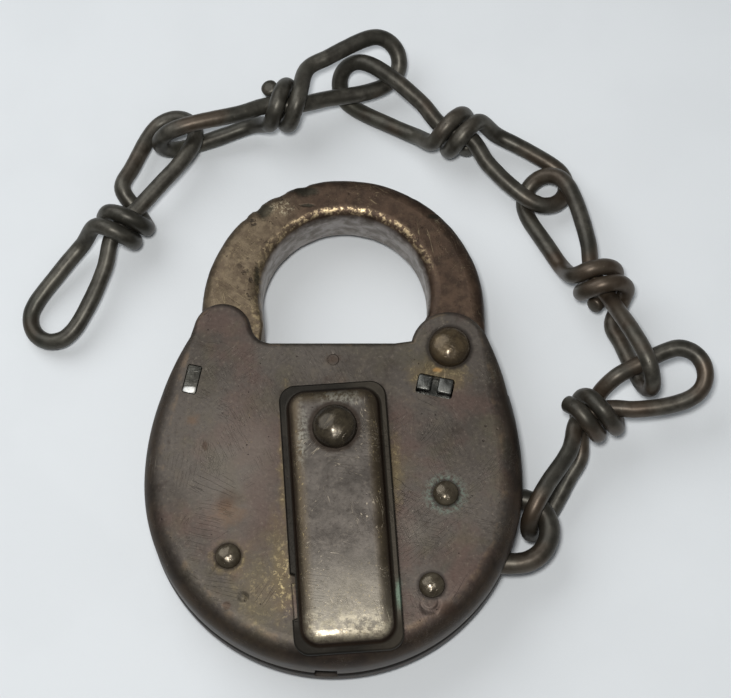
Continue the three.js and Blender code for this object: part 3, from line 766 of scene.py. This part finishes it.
def case_paint(name, front):
    metallic, specular = 0.72, 0.5
    p = Paint(name, metallic)
    broad, middle = p.noise(45, 4, 0.6, 0.4, 1), p.noise(230, 5, 0.62, 0.3, 2)
    fine = p.noise(1500, 3, 0.6, 0, 3)
    p.colour = p.mix(srgb(66, 60, 54), srgb(83, 77, 71), p.step(broad, 0.34, 0.66))
    p.tint((98, 90, 78), p.step(middle, 0.52, 0.72), 0.5)
    p.tint((52, 44, 38), p.step(middle, 0.46, 0.3), 0.65)
    p.tint((88, 68, 61), p.step(p.noise(80, 4, 0.6, 0.5, 9), 0.46, 0.64), 0.5)
    p.tint((80, 75, 60), p.step(p.noise(110, 4, 0.6, 0.5, 19), 0.48, 0.66), 0.45)
    p.grained(fine)
    # painted shade: the front's rounded rim, and the back's edge by the floor, are coloured darker
    rim = p.level(17.9, 16.6) if front else p.level(0.3, 1.5)
    p.blend(p.mix(srgb(44, 36, 29), srgb(66, 54, 42), p.step(middle, 0.35, 0.65)), p.scaled(rim, 0.85))
    wear = p.both(p.step(fine, 0.6, 0.74), p.step(middle, 0.48, 0.6))
    lines = p.scratched(
        (12, 1400, 0.009, 11, 10, 0.56), (-38, 1300, 0.008, 12, 9, 0.56),
        (64, 1500, 0.009, 13, 8, 0.56), (-80, 1400, 0.008, 14, 10, 0.58),
    )
    dark_lines = p.scratched((28, 1200, 0.01, 15, 10, 0.6), (-55, 1200, 0.009, 16, 10, 0.6))
    holes = p.any(p.pits(520, 0.17, 21, 0.5), p.pits(900, 0.16, 22, 0.46))
    if front:
        pale = p.spots(
            ((-18.5, 1), 7, 5, 6, 120, (1, 0.7), 46), ((14, -10), 2, 2, 4, 160),
        )
        p.tint((108, 101, 93), pale, 0.4)
        stains = p.any(
            p.spot((-9.6, -17.5), 3.2, 2.6, 5, 260, (1.9, 0.42), 31),
            p.scaled(p.spot((-13.5, -20.5), 4, 3.5, 6, 320, (1, 0.7), 32), 0.6),
            p.spot((-18.8, -15.6), 3, 1.3, 2.2, 500, (1, 1), 33),
            p.spot((19.5, 19.2), 3.6, 1.6, 2.6, 500, (0.7, 1.2), 34),
            p.spot((11, 0.5), 2.6, 1.8, 3, 500, (1.8, 0.4), 35),
            p.spot((-8.8, 3), 2.2, 1.6, 3, 500, (2.2, 0.2), 36),
        )
        p.tint((104, 90, 60), stains, 0.5)
        core = p.any(p.spot((-9, -19.4), 2.6, 2.2, 2.6, 420, (1.5, 0.5), 39), p.scaled(stains, 0.35))
        bare = p.both(core, p.step(p.noise(1000, 6, 0.75, 0.6, 37), 0.52, 0.62))
        p.tint((190, 172, 128), bare, 0.8)
        flecks = p.both(p.step(p.noise(2100, 2, 0.6, 0, 38), 0.64, 0.7), p.step(broad, 0.42, 0.6))
        p.tint((138, 120, 80), flecks, 0.18)
        soot = p.spots(
            (GUIDE_PIN, 1, 0.7, 0.8, 700, (0.8, 1.2), 44),
            ((-19.2, -4.8), 1.5, 1.3, 1.8, 400, (0.8, 1), 41),
            ((-19.1, -24.2), 0.75, 0.2, 0.2), ((20.4, -24.6), 1.5, 0.8, 0.8, 700, (0.8, 1.3)),
            ((-23.6, 5.8), 0.5, 0.3, 0.8, 700, (1.2, 0.5)),
        )
        p.tint((64, 47, 36), soot, 0.6)
        rust = p.spots(
            ((-19.3, -7.2), 2, 1.4, 2.4, 500, (0.8, 1), 45), ((-26, 10.5), 1, 0.9, 1.6, 500),
        )
        p.tint((104, 78, 56), rust, 0.4)
        halo = p.both(p.spot(LEVER_PIVOT, 3.7, 0.8, 1.5, 800, (1, 1), 42), p.step(fine, 0.4, 0.6))
        green = p.both(p.spot((11.7, -22.4), 1.5, 1.1, 2.4, 500, (2.2, 0.5), 43), p.step(middle, 0.4, 0.6))
        p.tint((108, 130, 118), p.any(halo, green), 0.42)
        heads = ((HEEL, 4.45), (LEFT_RIVET, 2.75), (LEVER_PIVOT, 2.75), (LOWER_RIVET, 2.75))
        around = p.spots(*[(at, radius, 0.35, 0.25, 900) for at, radius in heads])
        p.tint((34, 28, 24), around, 0.8)
        orange = p.spot((19.3, 20.3), 0.5, 0.35, 0.6, 900, (0.6, 1.4))
        p.tint((168, 128, 74), orange, 0.6)
        across, down = p.drop_axes()
        # painted shade round the drop's edge, over darker unworn patina under the drop
        under = p.both(  # the drop's footprint, on the face and not on the lug
            p.step(p.math("ABSOLUTE", across), 0.0103, 0.0093), p.step(down, 0.0097, 0.0087),
            p.step(down, -0.0420, -0.0408), p.level(17.9, 17.99), p.level(18.3, 18.1),
        )
        p.blend(p.mix(srgb(34, 29, 24), srgb(60, 51, 41), middle), p.scaled(under, 0.7))
        # a dent below the lower rivet, with a painted shadow crescent in its colour
        dent_and_shadow = p.both(p.spot((17.6, -24.1), 1.7, 0.5, 0.4, 600), p.step(p.reach((17.5, -23.2)), 1.2, 2))
        p.tint((40, 32, 28), dent_and_shadow, 0.45)
        # painted highlight along the front shell's lower lip
        lip_highlight = p.both(p.level(SEAM + 0.3, SEAM + 0.6), p.level(SEAM + 2.4, SEAM + 1.4))
        p.tint((108, 102, 93), lip_highlight, 0.28)
    # painted shade on the band round the seam, darker and with less metal and specular shine
    seam_shade = p.both(p.level(SEAM - 4.2, SEAM - 1.6), p.level(SEAM + 0.45, SEAM + 0.15))
    p.tint((20, 17, 15), seam_shade, 0.85)
    p.put(p.shader.inputs["Metallic"], p.math("MULTIPLY_ADD", seam_shade, -0.7, metallic))
    p.put(p.shader.inputs["Specular IOR Level"], p.math("MULTIPLY_ADD", seam_shade, -0.48, specular))
    edge = p.level(17.4, 17.95) if front else p.level(0.6, 0.1)
    rub = p.both(edge, p.level(17.995, 17.93) if front else edge, p.step(middle, 0.46, 0.62))
    p.tint((128, 108, 86), rub, 0.35)
    p.tint((140, 132, 120), lines, 0.28)
    p.tint((44, 35, 32), p.any(p.scaled(dark_lines, 0.35), holes), 0.6)
    height = [(middle, 0.35), (fine, 0.12), (lines, -0.14), (dark_lines, -0.22), (holes, -0.35), (broad, 0.6)]
    if front:
        pimple = p.spot((-16.2, -22.7), 0.7, 0.6, 0.3, 900)
        height += [(dent_and_shadow, -0.9), (pimple, 1.6)]
    return p.finish(0.36, [(middle, 0.22), (fine, 0.10), (wear, -0.06), (rim, 0.03)], height, 0.19)


def shackle_paint():
    p = Paint("shackle_patina", 0.75)
    broad, middle = p.noise(55, 4, 0.6, 0.5, 51), p.noise(330, 5, 0.65, 0.3, 52)
    fine = p.noise(1500, 3, 0.6, 0, 53)
    left = p.step(p.math("ADD", p.x, p.math("MULTIPLY", broad, 0.012)), 0.002, -0.010)
    red = p.mix(srgb(60, 47, 38), srgb(84, 67, 54), p.step(middle, 0.36, 0.66))
    tan = p.mix(srgb(88, 75, 60), srgb(120, 106, 86), p.step(middle, 0.38, 0.68))
    p.colour = p.mix(red, tan, left)
    p.tint((60, 45, 38), p.step(broad, 0.44, 0.3), 0.55)
    grain = p.step(fine, 0.52, 0.68)
    p.blend(srgb(142, 127, 100), p.both(grain, p.math("ADD", p.scaled(left, 0.35), 0.08)))
    inner, outer, face = p.reach(BOW_IN), p.reach(BOW_OUT), p.level(12.8, 14.2)
    # painted light: the bow's inner wall is coloured pale where the front light falls on it
    wall = p.both(p.step(inner, 16.6, 15.9), p.step(p.y, 0.027, 0.031))
    lit_wall_colour = p.mix(srgb(120, 112, 104), srgb(176, 170, 166), p.step(middle, 0.38, 0.62))
    p.blend(lit_wall_colour, p.scaled(wall, 0.85))
    # worn brass along the inner front edge, with painted highlight dashes on it
    bend = p.math("ADD", inner, p.math("MULTIPLY", middle, 1.2))
    rub = p.both(p.step(bend, 17, 17.5), p.step(bend, 18.8, 18.2), face, p.step(p.y, 0.038, 0.049))
    glint = p.both(rub, p.step(p.noise(1100, 4, 0.65, 0, 54), 0.46, 0.62))
    p.tint((206, 184, 144), glint, 0.62)
    leg = p.spot((-14.2, 34), 1.6, 1.2, 1.6, 700, (1.5, 0.22), 55)
    leg = p.both(leg, p.step(fine, 0.45, 0.62), p.level(11, 14))
    p.tint((180, 162, 122), leg, 0.4)
    rims = p.both(p.step(outer, 25, 26.6), p.level(14.9, 13))
    p.tint((46, 35, 28), rims, 0.55)
    chipped = p.spots(
        ((-13.4, 53), 7, 3, 3, 200),
        ((-16, 35), 2.2, 2, 2, 500, (1, 0.2)),
        ((19, 49), 4, 2.5),
    )
    chips = p.both(p.step(p.noise(420, 4, 0.7, 0, 56), 0.60, 0.66), face, chipped)
    p.tint((44, 36, 30), chips, 0.8)
    marks = p.both(face, p.spots(
        ((-5.5, 57.4), 1.5, 0.7, 1.6, 700, (0.7, 1.3), 62),
        ((-13.4, 53.3), 1.4, 0.6, 1.4, 700, (1, 0.8), 63),
        ((-5.2, 54.3), 0.8, 0.3, 0.5, 900, (0.6, 2.4), 64),
        ((19, 52.2), 0.8, 0.3, 0.5, 900, (0.7, 1.6), 65),
        ((-14.6, 40), 0.7, 0.4, 0.9, 900, (1.6, 0.35), 66),
    ))
    p.tint((44, 44, 35), marks, 0.75)
    scraped = p.spots(((-10, 53.9), 1.7, 0.9, 1.4, 700, (0.8, 1.2), 68), ((19.9, 51.4), 0.7, 0.4, 0.5))
    scraped = p.both(face, p.step(p.noise(1500, 4, 0.7, 1, 67), 0.5, 0.6), scraped)
    p.tint((176, 164, 138), scraped, 0.7)
    lines = p.scratched(
        (35, 1400, 0.009, 57, 9, 0.54), (-30, 1400, 0.009, 58, 9, 0.55), (80, 1400, 0.009, 59, 9, 0.55),
    )
    p.tint((160, 144, 114), lines, 0.35)
    holes = p.any(p.pits(600, 0.2, 60, 0.46), p.pits(1000, 0.17, 61, 0.44))
    p.tint((42, 32, 26), holes, 0.55)
    height = [(middle, 0.5), (fine, 0.16), (lines, -0.15), (holes, -0.35), (chips, -0.5), (marks, -0.6)]
    return p.finish(0.34, [(middle, 0.2), (fine, 0.12), (glint, -0.12)], height, 0.17)


def drop_paint():
    p = Paint("drop_patina", 0.78)
    across, down = p.drop_axes()
    middle, fine = p.noise(260, 5, 0.62, 0.3, 71), p.noise(1600, 3, 0.6, 0, 72)
    p.colour = p.mix(srgb(72, 67, 62), srgb(94, 88, 82), p.step(middle, 0.36, 0.66))
    p.grained(fine)
    # painted glare: lighter towards the drop's lower end
    low = p.step(down, -0.018, -0.040)
    p.tint((140, 135, 124), low, 0.62)
    top = p.level(21.9, 22.9)
    # painted shade: the flange is darker, most of all on its left side, and the box's sloping wall darker
    # than its top
    lit = p.math("ADD", middle, p.step(across, 0, 0.009))
    flange = p.mix(srgb(33, 30, 25), srgb(56, 51, 43), p.step(lit, 0.3, 1.5))
    wall = p.mix(srgb(44, 34, 26), srgb(62, 48, 36), middle)
    side = p.math("ABSOLUTE", across)
    border = p.any(p.step(side, 0.0052, 0.0072), p.step(down, 0.0042, 0.0062), p.step(down, -0.0368, -0.0386))
    p.blend(p.mix(srgb(62, 52, 38), srgb(94, 80, 56), middle), p.scaled(border, 0.7))
    p.colour = p.mix(p.mix(wall, flange, p.level(21.1, 20.8)), p.colour, top)
    # painted highlights on the top round the rivet
    upper_glints = p.spots(
        ((1.2, 13.6), 1.7, 1.2, 2, 600, (0.55, 1.2), 82),
        ((-5.6, 6.4), 1, 0.9, 1, 700, (1.2, 0.22), 83),
    )
    p.blend(srgb(152, 150, 138), p.both(p.scaled(upper_glints, 0.5), top, p.step(fine, 0.4, 0.6)))
    # polished spots at the foot and lower corner, with a painted glare on them
    foot = p.spot((3.9, -28.4), 3.2, 2.4, 2.8, 420, (0.42, 1.2), 73)
    corner = p.spot((-1.4, -29.4), 2.6, 1.6, 2.2, 500, (0.8, 1), 74)
    polish_and_glare = p.both(p.any(foot, corner), top, p.step(p.noise(900, 4, 0.7, 0, 75), 0.42, 0.6))
    p.tint((204, 194, 168), polish_and_glare, 0.6)
    dull = p.math("SUBTRACT", p.step(down, -0.0335, -0.0372), p.scaled(corner, 0.9), clamp=True)
    # painted glare over the lower part of the top
    lower_glare = p.both(p.spot((5, -27), 7, 5, 3, 250), top)
    p.tint((142, 134, 120), lower_glare, 0.4)
    bare = p.both(p.step(p.noise(2200, 2, 0.7, 0, 76), 0.62, 0.7), p.any(border, low), top)
    p.tint((196, 176, 126), bare, 0.45)
    lines = p.scratched(
        (8, 1500, 0.009, 77, 9, 0.54), (-48, 1500, 0.009, 78, 9, 0.55), (75, 1400, 0.009, 79, 12, 0.54),
    )
    p.blend(srgb(178, 166, 146), p.both(p.scaled(lines, 0.5), top))
    holes = p.pits(800, 0.17, 80, 0.48)
    round_rivet = p.spot(PIVOT, 4.9, 0.35, 0.3, 900)
    p.tint((44, 34, 26), p.any(holes, p.scaled(round_rivet, 1.3)), 0.6)
    verdigris = p.both(p.spot((12, -22.4), 1, 0.7, 1.4, 500, (1.6, 0.42), 81), p.level(21.9, 21.2))
    p.tint((104, 124, 108), verdigris, 0.6)
    rough = [(middle, 0.18), (fine, 0.1), (polish_and_glare, -0.12), (lower_glare, -0.06), (dull, 0.3)]
    return p.finish(0.26, rough, [(middle, 0.3), (fine, 0.12), (lines, -0.15), (holes, -0.3)], 0.13)


def rivet_paint(name, dark, light, crown_z, seed):
    p = Paint(name, 0.5)
    middle, fine = p.noise(420, 5, 0.62, 0.3, seed), p.noise(1800, 3, 0.6, 0, seed + 1)
    p.colour = p.mix(dark, light, p.step(middle, 0.36, 0.68))
    low = p.level(crown_z, crown_z - 1.6)
    p.tint((40, 32, 26), low, 0.6)
    lines = p.scratched((20, 1300, 0.014, seed + 2, 10, 0.42), (-50, 1300, 0.013, seed + 3, 10, 0.44))
    p.tint((150, 138, 112), lines, 0.12)
    holes = p.pits(1200, 0.18, seed + 4, 0.46)
    p.tint((38, 30, 24), holes, 0.5)
    height = [(middle, 0.3), (fine, 0.12), (lines, -0.05), (holes, -0.2)]
    return p.finish(0.1, [(middle, 0.16), (fine, 0.1)], height, 0.12)


def chain_paint():
    seed = 91
    p = Paint("chain_patina", 0.55)
    broad, middle = p.noise(90, 3, 0.5, 0.3, seed), p.noise(420, 5, 0.62, 0.3, seed + 1)
    fine = p.noise(1800, 3, 0.6, 0, seed + 2)
    p.colour = p.mix(srgb(56, 53, 46), srgb(84, 81, 73), p.step(middle, 0.34, 0.68))
    p.tint((48, 47, 41), p.step(broad, 0.5, 0.34), 0.6)
    p.tint((96, 92, 82), p.step(broad, 0.54, 0.7), 0.4)
    brown = p.step(p.noise(60, 3, 0.5, 0.4, seed + 4), 0.46, 0.62)
    p.tint((84, 66, 50), brown, 0.5)
    worn = p.both(p.step(fine, 0.6, 0.72), p.step(middle, 0.5, 0.62))
    p.tint((136, 126, 108), worn, 0.35)
    under = p.both(p.level(6, 2), p.step(middle, 0.4, 0.6))
    p.tint((50, 54, 44), under, 0.5)
    holes = p.pits(900, 0.17, seed + 3, 0.46)
    p.tint((32, 27, 22), holes, 0.6)
    height = [(middle, 0.28), (fine, 0.1), (holes, -0.2)]
    return p.finish(0.3, [(middle, 0.16), (fine, 0.08)], height, 0.13)


def steel_paint(name, dark, light, seed, gleam=None):
    p = Paint(name, 0.9)
    middle, fine = p.noise(500, 5, 0.62, 0.3, seed), p.noise(2000, 3, 0.6, 0, seed + 1)
    p.colour = p.mix(dark, light, p.step(middle, 0.34, 0.68))
    lines = p.scratched((0, 1500, 0.02, seed + 2, 22, 0.4), (90, 1500, 0.015, seed + 3, 16, 0.46))
    p.tint((140, 140, 136), lines, 0.15)
    # painted highlight: a white glint on the tenon's end
    if gleam:
        at, radius, squash = gleam
        glint = p.both(p.spot(at, radius, 0.3, 0.4, 900, squash), p.level(17.2, 17.6))
        p.tint((216, 216, 212), glint, 0.8)
    height = [(middle, 0.4), (fine, 0.15), (lines, -0.2)]
    return p.finish(0.2, [(middle, 0.2), (fine, 0.1)], height, 0.1)


# ---- the lock's pieces ----

case_front_paint = case_paint("case_front_patina", True)
case_back_paint = case_paint("case_back_patina", False)
wire_paint = chain_paint()
steel = steel_paint("old_steel", srgb(44, 42, 40), srgb(84, 80, 76), 101.0)
rivet_small = rivet_paint("small_rivet_patina", srgb(68, 60, 48), srgb(96, 88, 73), 19.1, 111.0)
rivet_heel = rivet_paint("heel_rivet_patina", srgb(68, 57, 42), srgb(98, 84, 62), 20.2, 121.0)
rivet_drop = rivet_paint("drop_rivet_patina", srgb(46, 40, 31), srgb(74, 66, 52), 25.2, 131.0)

front = front_case()
soften(front, 0.16)
place(front, "lock_body", "front_case", case_front_paint)

back = cut(case_shell("case_back", False), [cylinder("post_hole", KEY, 1.4, -1, 3, 32)])
soften(back, 0.14)
place(back, "lock_body", "back_case", case_back_paint)

bow = shackle()
soften(bow, 0.12)
place(bow, "shackle", "shackle", shackle_paint())

drop = keyhole_drop()
soften(drop, 0.1, 46.0)
place(drop, "keyhole_drop", "keyhole_drop", drop_paint())

shank_foot, shank = 0.1, 1.6
big = lathe(
    "heel_rivet_head", HEEL,
    [(0, shank_foot), (2.3, shank_foot), (2.3, HEAD_BASE)] + dome(3.9, 2.2, HEAD_BASE))
uneven(big, 0.10, 0.7, 18.4)
place(big, "lock_body", "heel_rivet", rivet_heel, 50)

for node, at in (
    ("case_rivet_left", LEFT_RIVET),
    ("lever_pivot_rivet", LEVER_PIVOT),
    ("case_rivet_lower", LOWER_RIVET),
):
    small = lathe(
        node + "_head", at,
        [(0, shank_foot), (shank, shank_foot), (shank, HEAD_BASE)] + dome(2.35, 1.2, HEAD_BASE, 0.42))
    uneven(small, 0.09, 1.1, 18.4)
    place(small, "lock_body", node, rivet_small, 60)

drop_head_base = 23.25
centre_head = lathe(
    "drop_rivet_head", PIVOT,
    [(0, 14.6), (2.9, 14.6), (2.9, 15.8), (2, 15.8), (2, drop_head_base)]
    + dome(4.15, 2.3, drop_head_base), 72)
uneven(centre_head, 0.10, 0.6, 23.6)
place(centre_head, "lock_body", "drop_rivet", rivet_drop, 50)

washer = lathe("drop_spacer", PIVOT, [
    (2.3, 18.25), (2.4, 18.15), (3.3, 18.15), (3.4, 18.25),
    (3.4, 21.5), (3.3, 21.6), (2.4, 21.6), (2.3, 21.5),
], 48)
place(washer, "lock_body", "drop_washer", wire_paint)

pin = lathe("flush_pin", GUIDE_PIN, [(0, 0.1), (1.1, 0.1), (1.1, 17.95), (0.95, 18.05), (0, 18.05)], 40)
place(pin, "lock_body", "guide_pin", case_front_paint)

post = lathe(
    "key_post_pin", KEY, [(0, 0.1), (1.2, 0.1), (1.2, 17.1), (0.95, 17.45), (0.5, 17.6), (0, 17.6)], 40)
place(post, "lock_body", "key_post", steel)

# the blocks that guide the bow, whose tenons show in two slots of the face
toe = block("toe_guide_block", -28.1, -26.3, 14.9, 20.3, 3, 15.6)
toe = add(toe, [leaning_block("tenon", TOE_TENON, 2.5, 5.4, TENON_LEAN, 15.35, 18.05)])
soften(toe, 0.35, 30, 3)
place(toe, "lock_body", "toe_guide", steel_paint(
    "toe_tenon_steel", srgb(60, 58, 52), srgb(88, 86, 80), 141.0, ((-26.85, 16.35), 0.75, (0.7, 1.2))))

lug_width, lug_shift = 2.7, 1.95
heel = soften(block("heel_block_body", 15.8, 23.6, 8.2, 15.1, 2.1, 15.95), 0.4, 30, 3)
heel = add(heel, [
    leaning_block("seat", HEEL_TENON, 6.6, 3.6, TENON_LEAN, 15.35, 15.9),
] + [
    soften(leaning_block("lug", HEEL_TENON, lug_width, 3.0, TENON_LEAN, 15.5, lug_top, shift), 0.35, 30, 3)
    for lug_top, shift in ((18.4, lug_shift), (18.15, -lug_shift))
])
place(heel, "lock_body", "heel_block", steel_paint(
    "heel_tenon_steel", srgb(58, 58, 54), srgb(104, 104, 100), 151.0, ((18.4, 17.3), 0.3, (1.0, 1.0))))

loop = sweep("side_staple", spline(staple_path(), 90), STAPLE_WIRE, 32, 5.0, 0.04)
place(loop, "lock_body", "chain_staple", wire_paint, 50)

for i, link in enumerate(LINKS):
    wire = sweep(f"link_{i + 1}_wire", spline(link_path(link), 300), WIRE, 24, 10.0 * i, 0.045)
    node = f"chain_link_{i + 1}"
    place(wire, node, node, wire_paint, 50)

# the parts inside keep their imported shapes, with their edges broken
lever_metal = steel_paint("lever_brass_metal", srgb(150, 122, 70), srgb(186, 156, 96), 161.0)
spring_metal = steel_paint("spring_blue_steel", srgb(60, 66, 82), srgb(104, 108, 120), 171.0)
inside = {"bolt": steel, "bolt_spring": spring_metal}
for i in range(1, 5):
    inside[f"lever_{i}"] = lever_metal
    inside[f"lever_spring_{i}"] = spring_metal
for name, material in inside.items():
    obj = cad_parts[name]
    for slot in obj.material_slots:
        slot.material = material
    if "spring" not in name:
        edge = obj.modifiers.new("broken_edges", "BEVEL")
        edge.width = 0.12 * MM
        edge.segments = 2
        edge.limit_method = "ANGLE"


# ---- camera, floor and light ----

# the focal length is given as a multiple of the picture's width
SENSOR, FOCAL_SHARE = 36, 2400 / 731

scene = bpy.context.scene
camera_data = bpy.data.cameras.new("camera")
camera = bpy.data.objects.new("camera", camera_data)
scene.collection.objects.link(camera)
camera.location = Vector((5.925, -113.905, 443.633)) * MM
aim = Vector((5.925, 27.316, 9.0)) * MM
camera.rotation_euler = (aim - camera.location).to_track_quat("-Z", "Y").to_euler()
camera_data.sensor_width = SENSOR
camera_data.lens = FOCAL_SHARE * SENSOR
camera_data.clip_start, camera_data.clip_end = 0.01, 20
scene.camera = camera

reach = 3.0
floor = mesh_object(
    "paper_floor", [(-reach, -reach, 0), (reach, -reach, 0), (reach, reach, 0), (-reach, reach, 0)],
    [(0, 1, 2, 3)])
paper = Paint("pale_paper", 0.0)
cloud, fibre = paper.noise(40, 3, 0.5, 0.0, 7.0), paper.noise(2500, 3, 0.6, 0.0, 8.0)
paper.colour = paper.mix(srgb(221, 225, 228), srgb(223, 227, 230), paper.step(cloud, 0.4, 0.6))
floor.data.materials.append(paper.finish(0.85, [], [(fibre, 1.0)], 0.02))


def area(name, location, target, size, power, colour):
    data = bpy.data.lights.new(name, "AREA")
    data.shape, data.size, data.energy, data.color = "DISK", size, power, colour
    obj = bpy.data.objects.new(name, data)
    obj.location = Vector(location)
    obj.rotation_euler = (Vector(target) - obj.location).to_track_quat("-Z", "Y").to_euler()
    scene.collection.objects.link(obj)


area("front_light", (-0.012, -0.085, 0.46), (0.0, 0.02, 0.0), 0.05, 1.33, (1.0, 0.99, 0.97))
area("soft_top", (-0.26, 0.26, 0.42), (-0.02, 0.03, 0.0), 0.5, 1.3, (0.97, 0.985, 1.0))
world = bpy.data.worlds.new("soft_room")
scene.world = world
world.use_nodes = True
sky = world.node_tree.nodes["Background"]
sky.inputs["Color"].default_value = (0.89, 0.92, 0.95, 1)
sky.inputs["Strength"].default_value = 0.18
scene.view_settings.view_transform = "Standard"
